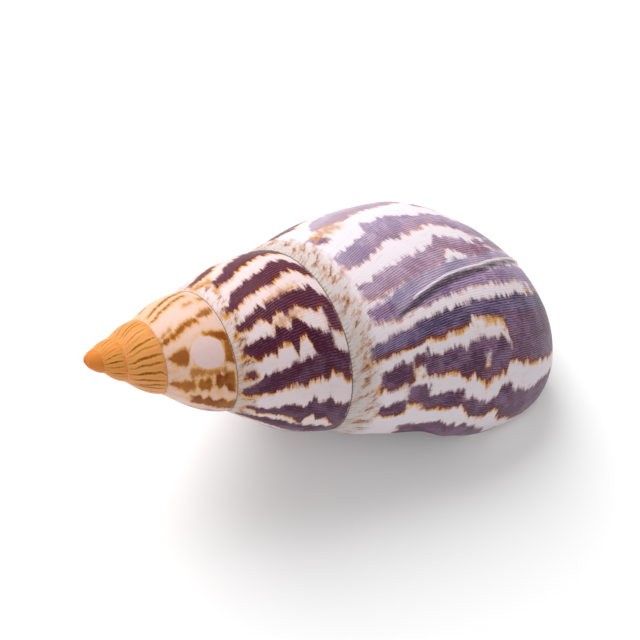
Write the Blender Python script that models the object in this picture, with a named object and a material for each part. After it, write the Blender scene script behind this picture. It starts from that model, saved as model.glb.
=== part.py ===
"""Land snail shell, grown as one piece: a coiled, hollow, right-handed spiral.

The shell is made round its own axis of coiling, from the tip of the spire (x = 0) to the base
(+x), and is then turned into the position in which it lies, mouth down, on z = 0.

Two numbers place a point on the shell. `turn` is the angle round the axis in whole turns, and it
grows from the tip to the mouth. `v` runs across a whorl: 0 at its upper seam, 1 at its lower seam,
and on to 2 where the base of the last whorl reaches the foot of the columella.
"""

import math

import bmesh
import bpy
import numpy as np
from mathutils import Matrix

MM = 0.001
TAU = 2.0 * math.pi

# Seam between the whorls, the line on which each whorl is laid (mm at turn 0)
SEAM_RADIUS = 13.64
SEAM_DEPTH = 30.50
RADIUS_PER_TURN = 1.565
DEPTH_PER_TURN = 1.843
YOUTH_SLOWING = 0.0214
FIRST_TURN = -5.0
TIP_RISE = 0.75
TIP_RISES_AT = -4.0
TIP_SPREAD = 0.15
APEX_RISE = 0.35
LAST_TURN = 0.26
STRAIGHTENS_AT = 0.236
RADIUS_EASING = 0.280
DEPTH_EASING = 0.226

# Bulge of a whorl between its seams, as a share of the distance between them
BULGE_SPIRE = 0.068
BULGE_BODY = 0.031
BULGE_SKEW = 1.2

# Base of the last whorl: one Bezier curve from the seam line to the foot of the columella
FOOT_DEPTH = 74.0
SHOULDER_HANDLE = 0.236
BACK_HANDLE_RADIUS = 6.5
BACK_HANDLE_DEPTH = 58.0
LIP_HANDLE_RADIUS = 22.4
LIP_HANDLE_DEPTH = 89.0
BASE_GROWTH_POWER = 1.84

# Growth lines lean back from the upper seam, and so does the lip
STEPS_PER_TURN = 60
LEAN_STEPS = 4
LEAN_POWER = 2.2

# The grown lip, at places along v: how far its edge runs ahead of a growth line, in turns, and
# how far it swings out from the axis, as a share of the radius
LIP_PLACES = (0.0, 0.125, 0.25, 0.50, 0.75, 1.0, 1.25, 1.50, 1.75, 2.0)
LIP_LEADS = (0.0, 0.0, -0.005, -0.006, 0.014, 0.040, 0.020, 0.002, -0.003, 0.0)
LIP_FLARES = (0.0, 0.026, 0.014, 0.003, 0.033, 0.031, 0.012, 0.0, 0.0, 0.0)
LIP_GROWS_OVER = 0.16

# Walls and the hollow
WALL = 1.05
LIP_WALL = 0.70
CALLUS = 0.35
WALL_FULL_AFTER = 0.10
PILLAR_RADIUS = 3.4
PILLAR_FULL_AFTER = 0.15
HOLLOW_TURNS = 4.2
HOLLOW_STEP = 3
HOLLOW_NARROWS_OVER = 0.30
HOLLOW_END_SHARE = 0.12
SHARPEST_CORNER = 0.36
DEEPEST_INSET = 0.6

# Finish of the polished surface
SHELL_COLOUR = (0.47, 0.36, 0.36, 1.0)
SHELL_ROUGHNESS = 0.25
SHARP_EDGE_DEGREES = 50.0

# Mesh divisions
BAND_ROWS = 6
BASE_ROWS = 8
PARIETAL_ROWS = 8

# Lie of the shell on a level surface: the turn that points down, and how far the base hangs (degrees)
DOWN_TURN = 148.26
BASE_HANGS = 19.62


def seam(turn):
    """Radius and depth of the seam line at a turn, in mm."""
    turn = np.asarray(turn, float)

    def coil(at):
        slow = np.exp(-YOUTH_SLOWING * at * at)
        blunt = TIP_RISE / (1.0 + np.exp((at - TIP_RISES_AT) / TIP_SPREAD))
        return SEAM_RADIUS * RADIUS_PER_TURN ** at * slow, SEAM_DEPTH * DEPTH_PER_TURN ** at * slow - blunt

    radius, depth = coil(turn)
    edge_radius, edge_depth = coil(STRAIGHTENS_AT)
    small = 1e-4
    next_radius, next_depth = coil(STRAIGHTENS_AT + small)
    past = np.clip(turn - STRAIGHTENS_AT, 0.0, None)
    eased_radius = edge_radius + (next_radius - edge_radius) / small * past * np.exp(-RADIUS_EASING * past)
    eased_depth = edge_depth + (next_depth - edge_depth) / small * past * (1.0 + DEPTH_EASING * past)
    beyond = turn > STRAIGHTENS_AT
    return np.where(beyond, eased_radius, radius), np.where(beyond, eased_depth, depth)


def profile(turn, v):
    """Radius and depth, in mm, of the outer surface at a turn and a place across the whorl."""
    turn, v = np.broadcast_arrays(np.asarray(turn, float), np.asarray(v, float))
    upper_r, upper_z = seam(turn)
    lower_r, lower_z = seam(turn + 1.0)
    chord_r, chord_z = lower_r - upper_r, lower_z - upper_z
    chord = np.hypot(chord_r, chord_z)
    out_r, out_z = chord_z / chord, -chord_r / chord
    last = np.clip(turn - (LAST_TURN - 1.0), 0.0, 1.0)
    bulge = BULGE_SPIRE + (BULGE_BODY - BULGE_SPIRE) * last

    across = np.clip(v, 0.0, 1.0)
    rise = chord * bulge * np.sin(math.pi * across ** BULGE_SKEW)
    band_r = upper_r + chord_r * across + out_r * rise
    band_z = upper_z + chord_z * across + out_z * rise

    fall = -bulge * math.pi * BULGE_SKEW
    tangent_r = chord_r + out_r * chord * fall
    tangent_z = chord_z + out_z * chord * fall
    length = np.hypot(tangent_r, tangent_z)
    handle = SHOULDER_HANDLE * chord / length
    young = np.minimum(turn - (LAST_TURN - 1.0), 0.0)
    grown = last ** BASE_GROWTH_POWER
    smaller_r, smaller_z = RADIUS_PER_TURN ** young, DEPTH_PER_TURN ** young
    handle_r = (BACK_HANDLE_RADIUS + (LIP_HANDLE_RADIUS - BACK_HANDLE_RADIUS) * grown) * smaller_r
    handle_z = (BACK_HANDLE_DEPTH + (LIP_HANDLE_DEPTH - BACK_HANDLE_DEPTH) * grown) * smaller_z
    w = np.clip(v - 1.0, 0.0, 1.0)
    start, lead, come, end = (1 - w) ** 3, 3 * (1 - w) ** 2 * w, 3 * (1 - w) * w * w, w ** 3
    base_r = start * lower_r + lead * (lower_r + tangent_r * handle) + come * handle_r
    base_z = start * lower_z + lead * (lower_z + tangent_z * handle) + come * handle_z
    base_z = base_z + end * FOOT_DEPTH * smaller_z
    return np.where(v <= 1.0, band_r, base_r), np.where(v <= 1.0, band_z, base_z)


def lean(v):
    """How far, in turns, a growth line lies behind its start at the upper seam."""
    return -LEAN_STEPS / STEPS_PER_TURN * (1.0 - (1.0 - np.clip(v, 0.0, 1.0)) ** LEAN_POWER)


def along_lip(values, v):
    """A value at v, eased between the values given at the places along the lip."""
    total = np.zeros_like(np.asarray(v, float))
    for left, right, start, end in zip(LIP_PLACES, LIP_PLACES[1:], values, values[1:]):
        share = (np.clip(v, left, right) - left) / (right - left)
        total = total + (end - start) * (0.5 - 0.5 * np.cos(math.pi * share))
    return total


def growth_line(growth, v):
    """Turn, radius and depth along a growth line; near the mouth it becomes the grown lip."""
    near = np.clip(1.0 - (LAST_TURN - growth) / LIP_GROWS_OVER, 0.0, 1.0) ** 2
    turns = growth + lean(v) + along_lip(LIP_LEADS, v) * near
    radius, depth = profile(turns, v)
    return turns, radius * (1.0 + along_lip(LIP_FLARES, v) * near), depth


def in_space(radius, depth, turn):
    """Points round the axis of coiling, in metres."""
    angle = np.asarray(turn) * TAU
    return np.stack([depth, -radius * np.cos(angle), -radius * np.sin(angle)], axis=-1) * MM


def mouth_loop(growth):
    """The closed line round the mouth of the shell at a stage of growth: turns, radii and depths.

    It runs down the outer lip from the seam to the foot, and back up the wall of the whorl before.
    """
    lip_v = np.concatenate([np.linspace(0.0, 1.0, BAND_ROWS + 1),
                            np.linspace(1.0, 2.0, BASE_ROWS + 1)[1:]])
    wall_v = np.linspace(2.0, 1.0, PARIETAL_ROWS + 1)[1:-1]
    lip = growth_line(growth, lip_v)
    wall = (np.full(len(wall_v), growth - 1.0), *profile(growth - 1.0, wall_v))
    return [np.concatenate(pair) for pair in zip(lip, wall)], len(lip_v)


def hollow_loop(growth, wall, callus, pillar=0.0, narrowing=1.0):
    """Points of the inner wall at a stage of growth, inset from the whorl by the wall.

    The hollow stays clear of a pillar round the axis, the columella.
    """
    (turns, radius, depth), lip_count = mouth_loop(growth)
    to_r, to_z = radius.mean() - radius, depth.mean() - depth
    reach = np.hypot(to_r, to_z)
    to_r, to_z = to_r / reach, to_z / reach
    along_r = np.roll(radius, -1) - np.roll(radius, 1)
    along_z = np.roll(depth, -1) - np.roll(depth, 1)
    square = np.abs(to_r * along_z - to_z * along_r) / np.hypot(along_r, along_z)
    thickness = np.where(np.arange(len(turns)) < lip_count, wall, callus)
    inset = np.minimum(thickness / np.maximum(square, SHARPEST_CORNER), DEEPEST_INSET * reach)
    inner_r = radius.mean() - to_r * (reach - inset) * narrowing
    inner_z = depth.mean() - to_z * (reach - inset) * narrowing
    return in_space(np.maximum(inner_r, pillar), inner_z, turns)


def add_row(bm, points):
    """New vertices at the points."""
    return [bm.verts.new(point) for point in points]


def add_band(bm, first, second, closed=False):
    """Faces between two rows of vertices, skipping corners that the rows share."""
    count = len(first)
    for i in range(count if closed else count - 1):
        j = (i + 1) % count
        corners = []
        for vert in (first[i], second[i], second[j], first[j]):
            if vert not in corners:
                corners.append(vert)
        if len(corners) > 2:
            bm.faces.new(corners)


def build_shell():
    """Mesh of the whole shell round its own axis: outside, lip and hollow as one closed surface."""
    bm = bmesh.new()
    rows_in_all = round((LAST_TURN - FIRST_TURN) * STEPS_PER_TURN)
    growths = LAST_TURN - np.arange(rows_in_all, -1, -1) / STEPS_PER_TURN
    to_next_whorl = STEPS_PER_TURN - LEAN_STEPS
    band_v = np.linspace(0.0, 1.0, BAND_ROWS + 1)
    base_v = np.linspace(1.0, 2.0, BASE_ROWS + 1)

    # Bands of the whorls, each laid along the lower seam of the one before
    bands = []
    for index, growth in enumerate(growths):
        turns, radius, depth = growth_line(growth, band_v)
        points = in_space(radius, depth, turns)
        if index >= to_next_whorl:
            row = [bands[index - to_next_whorl][-1]] + add_row(bm, points[1:])
        else:
            row = add_row(bm, points)
        bands.append(row)
    for first, second in zip(bands, bands[1:]):
        add_band(bm, first, second)

    # Rounded tip
    first_radius, first_depth = seam(growths[0])
    tip = bm.verts.new((float(first_depth - first_radius * APEX_RISE) * MM, 0.0, 0.0))
    rim = [bands[index][0] for index in range(to_next_whorl + 1)]
    rim += [vert for vert in reversed(bands[0][1:-1])]
    add_band(bm, rim, [tip] * len(rim), closed=True)

    # Base of the last whorl, down to the foot
    foot = bm.verts.new((FOOT_DEPTH * MM, 0.0, 0.0))
    bases = []
    for index in range(rows_in_all - to_next_whorl, rows_in_all + 1):
        turns, radius, depth = growth_line(growths[index], base_v)
        points = in_space(radius, depth, turns)
        bases.append([bands[index][-1]] + add_row(bm, points[1:-1]) + [foot])
    for first, second in zip(bases, bases[1:]):
        add_band(bm, first, second)

    # Lip, and the hollow behind it
    mouth = bands[-1] + bases[-1][1:] + list(reversed(bases[0][1:-1]))
    rings = [mouth]
    stages = round(HOLLOW_TURNS * STEPS_PER_TURN)
    for stage in range(0, stages + 1, HOLLOW_STEP):
        inward = stage / STEPS_PER_TURN
        smaller = RADIUS_PER_TURN ** min(1.0 - inward, 0.0)
        wall = (LIP_WALL + (WALL - LIP_WALL) * min(inward / WALL_FULL_AFTER, 1.0)) * smaller
        pillar = PILLAR_RADIUS * min(inward / PILLAR_FULL_AFTER, 1.0) * smaller
        left = min((HOLLOW_TURNS - inward) / HOLLOW_NARROWS_OVER, 1.0)
        narrowing = max(math.sqrt(1.0 - (1.0 - left) ** 2), HOLLOW_END_SHARE)
        loop = hollow_loop(LAST_TURN - inward, wall, CALLUS * smaller, pillar, narrowing)
        rings.append(add_row(bm, loop))
    for first, second in zip(rings, rings[1:]):
        add_band(bm, first, second, closed=True)
    centre = sum((vert.co for vert in rings[-1]), rings[-1][0].co * 0.0) / len(rings[-1])
    add_band(bm, rings[-1], [bm.verts.new(centre)] * len(rings[-1]), closed=True)

    bmesh.ops.recalc_face_normals(bm, faces=bm.faces)
    bmesh.ops.triangulate(bm, faces=bm.faces)
    mesh = bpy.data.meshes.new("shell")
    bm.to_mesh(mesh)
    bm.free()
    return mesh


def lay_down(mesh):
    """Turn the shell into the position in which it lies, centred over the origin on z = 0."""
    rolled = Matrix.Rotation(math.radians(90.0 - DOWN_TURN), 4, "X")
    mesh.transform(Matrix.Rotation(math.radians(BASE_HANGS), 4, "Y") @ rolled)
    corners = np.array([vert.co[:] for vert in mesh.vertices])
    low, high = corners.min(axis=0), corners.max(axis=0)
    middle = (low + high) / 2.0
    mesh.transform(Matrix.Translation((-middle[0], -middle[1], -low[2])))


def shell_material():
    """Smooth polished lime, in the mean colour of the shell."""
    material = bpy.data.materials.new("polished_shell")
    material.use_nodes = True
    surface = material.node_tree.nodes["Principled BSDF"]
    surface.inputs["Base Color"].default_value = SHELL_COLOUR
    surface.inputs["Roughness"].default_value = SHELL_ROUGHNESS
    surface.inputs["Metallic"].default_value = 0.0
    return material


def main():
    """Build the shell as one object in an emptied scene."""
    for old in list(bpy.data.objects):
        bpy.data.objects.remove(old)
    mesh = build_shell()
    lay_down(mesh)
    mesh.materials.append(shell_material())
    mesh.shade_smooth()
    mesh.set_sharp_from_angle(angle=math.radians(SHARP_EDGE_DEGREES))
    shell = bpy.data.objects.new("shell", mesh)
    bpy.context.collection.objects.link(shell)


main()
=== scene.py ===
"""Looks of the tree snail shell: a finely wound skin with its markings, a floor, soft light, a camera.

Two numbers place a point on the shell. `growth` counts turns round the axis of coiling along the
lines of growth, from the tip of the spire to the mouth. `v` runs across a whorl: 0 at its upper
seam, 1 at its lower seam, and on to 2 where the base of the last whorl reaches the foot of the
columella. Lengths are in mm until the skin is laid down.
"""

import logging
import math
from dataclasses import dataclass, field
from enum import Enum
from typing import Any, Sequence, Union

import bpy
import numpy as np
from mathutils import Matrix, Vector


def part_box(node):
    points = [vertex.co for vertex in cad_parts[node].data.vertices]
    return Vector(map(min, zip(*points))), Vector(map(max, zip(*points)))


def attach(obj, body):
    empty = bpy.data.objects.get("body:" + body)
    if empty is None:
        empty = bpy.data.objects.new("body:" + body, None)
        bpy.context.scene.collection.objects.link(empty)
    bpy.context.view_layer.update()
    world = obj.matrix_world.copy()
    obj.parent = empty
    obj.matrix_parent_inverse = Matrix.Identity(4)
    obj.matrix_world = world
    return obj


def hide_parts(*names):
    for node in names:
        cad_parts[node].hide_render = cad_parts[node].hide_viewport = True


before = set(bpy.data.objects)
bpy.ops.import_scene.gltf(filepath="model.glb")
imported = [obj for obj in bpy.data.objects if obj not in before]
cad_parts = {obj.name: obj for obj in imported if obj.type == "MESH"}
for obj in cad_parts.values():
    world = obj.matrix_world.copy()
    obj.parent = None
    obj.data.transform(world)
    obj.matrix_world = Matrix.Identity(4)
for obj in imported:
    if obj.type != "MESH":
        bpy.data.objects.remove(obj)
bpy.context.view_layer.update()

MM = 0.001
TAU = 2.0 * math.pi
LOG = logging.getLogger("tree_snail_shell")
Array = np.ndarray
Rgb = tuple[float, float, float]
PLAIN_TINT = (0.5, 0.4, 1.0)


class Tone(Enum):
    """Which pigment a marking is made of, in the order of the channels, or BARE where pigment is missing; the
    fourth and fifth channels hold no pigment but the painted shadow beside the healed scar and the painted
    highlight on its ridge.
    """

    DARK = 0
    HAZE = 1
    AMBER = 2
    PAINTED_SHADOW = 3
    PAINTED_HIGHLIGHT = 4
    BARE = 5


@dataclass(frozen=True)
class Coil:
    """The spiral of the shell: the line of its seams and the profile of a whorl."""

    seam_radius: float = 13.64
    seam_depth: float = 30.50
    radius_per_turn: float = 1.565
    depth_per_turn: float = 1.843
    youth_slowing: float = 0.0214
    first_turn: float = -5.0
    tip_rise: float = 0.75
    tip_rises_at: float = -4.0
    tip_spread: float = 0.15
    last_turn: float = 0.26
    straightens_at: float = 0.236
    radius_easing: float = 0.280
    depth_easing: float = 0.226
    bulge_spire: float = 0.068
    bulge_body: float = 0.031
    bulge_skew: float = 1.2
    foot_depth: float = 74.0
    shoulder_handle: float = 0.236
    back_handle_radius: float = 6.5
    back_handle_depth: float = 58.0
    lip_handle_radius: float = 22.4
    lip_handle_depth: float = 89.0
    base_growth_power: float = 1.84
    lean_turns: float = 1.0 / 15.0
    lean_power: float = 2.2

    def plain_seam(self, turn: Array) -> tuple[Array, Array]:
        """Radius and depth of the seam before it straightens towards the mouth.

        Args:
            turn: Turns round the axis.

        Returns:
            Radius and depth in mm.
        """
        slow = np.exp(-self.youth_slowing * turn * turn)
        blunt = self.tip_rise / (1.0 + np.exp((turn - self.tip_rises_at) / self.tip_spread))
        radius = self.seam_radius * self.radius_per_turn ** turn * slow
        depth = self.seam_depth * self.depth_per_turn ** turn * slow - blunt
        return radius, depth

    def seam(self, turn: Array) -> tuple[Array, Array]:
        """Radius and depth of the seam line.

        Args:
            turn: Turns round the axis.

        Returns:
            Radius and depth in mm.
        """
        turn = np.asarray(turn, float)
        radius, depth = self.plain_seam(turn)
        edge = np.asarray(self.straightens_at)
        small = 1e-4
        edge_radius, edge_depth = self.plain_seam(edge)
        next_radius, next_depth = self.plain_seam(edge + small)
        past = np.clip(turn - self.straightens_at, 0.0, None)
        eased_radius = edge_radius + (next_radius - edge_radius) / small * past * np.exp(
            -self.radius_easing * past)
        eased_depth = edge_depth + (next_depth - edge_depth) / small * past * (
            1.0 + self.depth_easing * past)
        beyond = turn > self.straightens_at
        return np.where(beyond, eased_radius, radius), np.where(beyond, eased_depth, depth)

    def chord(self, turn: Array) -> Array:
        """How wide a whorl is between its two seams.

        Args:
            turn: Turn of the upper seam.

        Returns:
            Distance in mm.
        """
        upper_r, upper_z = self.seam(turn)
        lower_r, lower_z = self.seam(np.asarray(turn) + 1.0)
        return np.hypot(lower_r - upper_r, lower_z - upper_z)

    def profile(self, turn: Array, v: Array) -> tuple[Array, Array]:
        """Radius and depth of the outer surface.

        Args:
            turn: Turns round the axis.
            v: Place across the whorl, 0 to 2.

        Returns:
            Radius and depth in mm.
        """
        turn, v = np.broadcast_arrays(np.asarray(turn, float), np.asarray(v, float))
        upper_r, upper_z = self.seam(turn)
        lower_r, lower_z = self.seam(turn + 1.0)
        chord_r, chord_z = lower_r - upper_r, lower_z - upper_z
        chord = np.hypot(chord_r, chord_z)
        out_r, out_z = chord_z / chord, -chord_r / chord
        last = np.clip(turn - (self.last_turn - 1.0), 0.0, 1.0)
        bulge = self.bulge_spire + (self.bulge_body - self.bulge_spire) * last
        across = np.clip(v, 0.0, 1.0)
        rise = chord * bulge * np.sin(math.pi * across ** self.bulge_skew)
        band_r = upper_r + chord_r * across + out_r * rise
        band_z = upper_z + chord_z * across + out_z * rise

        fall = -bulge * math.pi * self.bulge_skew
        tangent_r = chord_r + out_r * chord * fall
        tangent_z = chord_z + out_z * chord * fall
        handle = self.shoulder_handle * chord / np.hypot(tangent_r, tangent_z)
        young = np.minimum(turn - (self.last_turn - 1.0), 0.0)
        grown = last ** self.base_growth_power
        small_r, small_z = self.radius_per_turn ** young, self.depth_per_turn ** young
        come_r = self.back_handle_radius + (self.lip_handle_radius - self.back_handle_radius) * grown
        come_z = self.back_handle_depth + (self.lip_handle_depth - self.back_handle_depth) * grown
        w = np.clip(v - 1.0, 0.0, 1.0)
        start, lead, come, end = (1 - w) ** 3, 3 * (1 - w) ** 2 * w, 3 * (1 - w) * w * w, w ** 3
        base_r = start * lower_r + lead * (lower_r + tangent_r * handle) + come * come_r * small_r
        base_z = start * lower_z + lead * (lower_z + tangent_z * handle) + come * come_z * small_z
        base_z = base_z + end * self.foot_depth * small_z
        return np.where(v <= 1.0, band_r, base_r), np.where(v <= 1.0, band_z, base_z)

    def lean(self, v: Array) -> Array:
        """How far, in turns, a growth line lies behind its start at the upper seam."""
        return -self.lean_turns * (1.0 - (1.0 - np.clip(v, 0.0, 1.0)) ** self.lean_power)

    def in_space(self, radius: Array, depth: Array, turn: Array) -> Array:
        """Points round the axis of coiling, in mm."""
        angle = np.asarray(turn) * TAU
        return np.stack([depth, -radius * np.cos(angle), -radius * np.sin(angle)], axis=-1)


@dataclass(frozen=True)
class Lip:
    """The grown lip: how far its edge runs ahead of a growth line and swings out from the axis."""

    places: tuple[float, ...] = (0.0, 0.125, 0.25, 0.50, 0.75, 1.0, 1.25, 1.50, 1.75, 2.0)
    leads: tuple[float, ...] = (0.0, 0.0, -0.005, -0.006, 0.014, 0.040, 0.020, 0.002, -0.003, 0.0)
    flares: tuple[float, ...] = (0.0, 0.026, 0.014, 0.003, 0.033, 0.031, 0.012, 0.0, 0.0, 0.0)
    grows_over: float = 0.16

    def along(self, values: Sequence[float], v: Array) -> Array:
        """A value at v, eased between the values given at the places along the lip.

        Args:
            values: One value for each place.
            v: Where it is wanted.

        Returns:
            The eased value at each v.
        """
        total = np.zeros_like(np.asarray(v, float))
        for left, right, start, end in zip(self.places, self.places[1:], values, values[1:]):
            share = (np.clip(v, left, right) - left) / (right - left)
            total = total + (end - start) * (0.5 - 0.5 * np.cos(math.pi * share))
        return total

    def growth_line(self, coil: Coil, growth: Array, v: Array) -> tuple[Array, Array, Array]:
        """Turn, radius and depth along a growth line; near the mouth it becomes the grown lip.

        Args:
            coil: The spiral that the line lies on.
            growth: Stage of growth in turns.
            v: Place across the whorl.

        Returns:
            Turns, and radii and depths in mm.
        """
        near = np.clip(1.0 - (coil.last_turn - growth) / self.grows_over, 0.0, 1.0) ** 2
        turns = growth + coil.lean(v) + self.along(self.leads, v) * near
        radius, depth = coil.profile(turns, v)
        return turns, radius * (1.0 + self.along(self.flares, v) * near), depth


@dataclass(frozen=True)
class Relief:
    """Low relief of the outer surface: seam groove, growth undulations and the healed scar."""

    groove: float = 0.16
    groove_width: float = 0.45
    groove_full_chord: float = 12.0
    fades_over: float = 0.02
    beads_per_turn: float = 62.0
    seed: int = 7
    ripple: float = 0.0022
    ripple_spacing: float = 0.017
    ripple_margin: float = 0.12
    scar_rise: float = 0.24
    scar_width: float = 0.0036
    scar_dip: float = 0.16
    scar_full_radius: float = 6.0
    scar_path: tuple[tuple[float, float], ...] = (
        (0.30, 0.037), (0.36, 0.032), (0.50, 0.0255), (0.74, 0.0185), (0.98, 0.0155),
        (1.25, 0.008), (1.50, -0.001), (1.70, -0.012))

    def scar_place(self, v: Array) -> Array:
        """Growth at which the scar crosses each v."""
        path = np.array(self.scar_path)
        return np.interp(v, path[:, 0], path[:, 1])

    def sunk(self, coil: Coil, seam_turn: Array, away: Array) -> Array:
        """How deep the beaded groove of a seam is.

        Args:
            coil: The spiral that the seam follows.
            seam_turn: Turn of the nearest point of the seam.
            away: Distance from the seam in mm.

        Returns:
            Depth in mm.
        """
        size = np.clip(coil.chord(seam_turn - 1.0) / self.groove_full_chord, 0.15, 1.0)
        present = np.clip((coil.last_turn - seam_turn) / self.fades_over, 0.0, 1.0)
        beads = 0.78 + 0.22 * np.sin(seam_turn * TAU * self.beads_per_turn)
        return self.groove * size * beads * present * np.exp(-(away / (self.groove_width * size)) ** 2)

    def raised(self, coil: Coil, growth: Array, v: Array, radius: Array) -> Array:
        """How far the surface stands out from the plain whorl, towards or away from the axis.

        Args:
            coil: The spiral that the relief lies on.
            growth: Stage of growth in turns.
            v: Place across the whorl.
            radius: Radius of the plain whorl in mm.

        Returns:
            Change of radius in mm.
        """
        chord = coil.chord(growth)
        free = coil.last_turn - (1.0 - coil.lean_turns)
        buried = 1.0 - np.clip((growth - free) / self.fades_over, 0.0, 1.0)
        upper = self.sunk(coil, growth, np.clip(v, 0.0, None) * chord)
        lower = self.sunk(coil, growth + 1.0 - coil.lean_turns, np.abs(1.0 - v) * chord) * buried

        rng = np.random.default_rng(self.seed)
        knots = np.arange(coil.first_turn - 0.1, coil.last_turn + 0.1, self.ripple_spacing)
        heights = rng.normal(0.0, 1.0, len(knots))
        near_lower = 1.0 - np.clip((1.0 - v) / self.ripple_margin, 0.0, 1.0)
        window = np.clip(v / self.ripple_margin, 0.0, 1.0) * (1.0 - buried * near_lower)
        ripples = self.ripple * radius * np.interp(growth, knots, heights) * window

        away = growth - self.scar_place(v)
        shown = np.clip((v - 0.30) / 0.08, 0.0, 1.0) * np.clip((1.75 - v) / 0.2, 0.0, 1.0)
        ridge = self.scar_rise * np.exp(-(away / self.scar_width) ** 2)
        dip = self.scar_dip * np.exp(-((away - 2.2 * self.scar_width) / self.scar_width) ** 2)
        full = np.clip(radius / self.scar_full_radius, 0.0, 1.0)
        return ripples - upper - lower + (ridge - dip) * shown * full


@dataclass(frozen=True)
class Flame:
    """One marking: its left and right edge, in growth, at places across the whorl.

    `hue` runs from 0, red brown, to 1, blue violet, `strength` is how dense the pigment is, and
    `pointed` is the share of v over which both ends narrow to a point.
    """

    name: str
    tone: Tone
    rows: tuple[tuple[float, float, float], ...]
    hue: float = 0.4
    strength: float = 1.0
    pointed: float = 0.0

    def depth_inside(self, coil: Coil, growth: Array, v: Array) -> tuple[Array, Array]:
        """Distance inside the marking, and place across it.

        Args:
            coil: The spiral, which gives the lengths.
            growth: Stage of growth in turns.
            v: Place across the whorl.

        Returns:
            Distance in mm, negative outside, and a side from -1, left, to 1, right.
        """
        rows = np.array(self.rows)
        left = np.interp(v, rows[:, 0], rows[:, 1])
        right = np.interp(v, rows[:, 0], rows[:, 2])
        middle_g, middle_v = rows[:, 1:].mean(), rows[:, 0].mean()
        radius, _ = coil.profile(np.asarray(middle_g), np.asarray(min(middle_v, 1.3)))
        per_turn, per_v = float(radius) * TAU, float(coil.chord(np.asarray(middle_g)))
        half, off = (right - left) / 2.0, growth - (left + right) / 2.0
        ends = np.minimum(v - rows[0, 0], rows[-1, 0] - v)
        narrow = np.sqrt(np.clip(ends / self.pointed, 0.0, 1.0)) if self.pointed else 1.0
        sideways = (half * narrow - np.abs(off)) * per_turn
        return np.minimum(sideways, ends * per_v), off / np.maximum(half, 1e-4)


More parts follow.
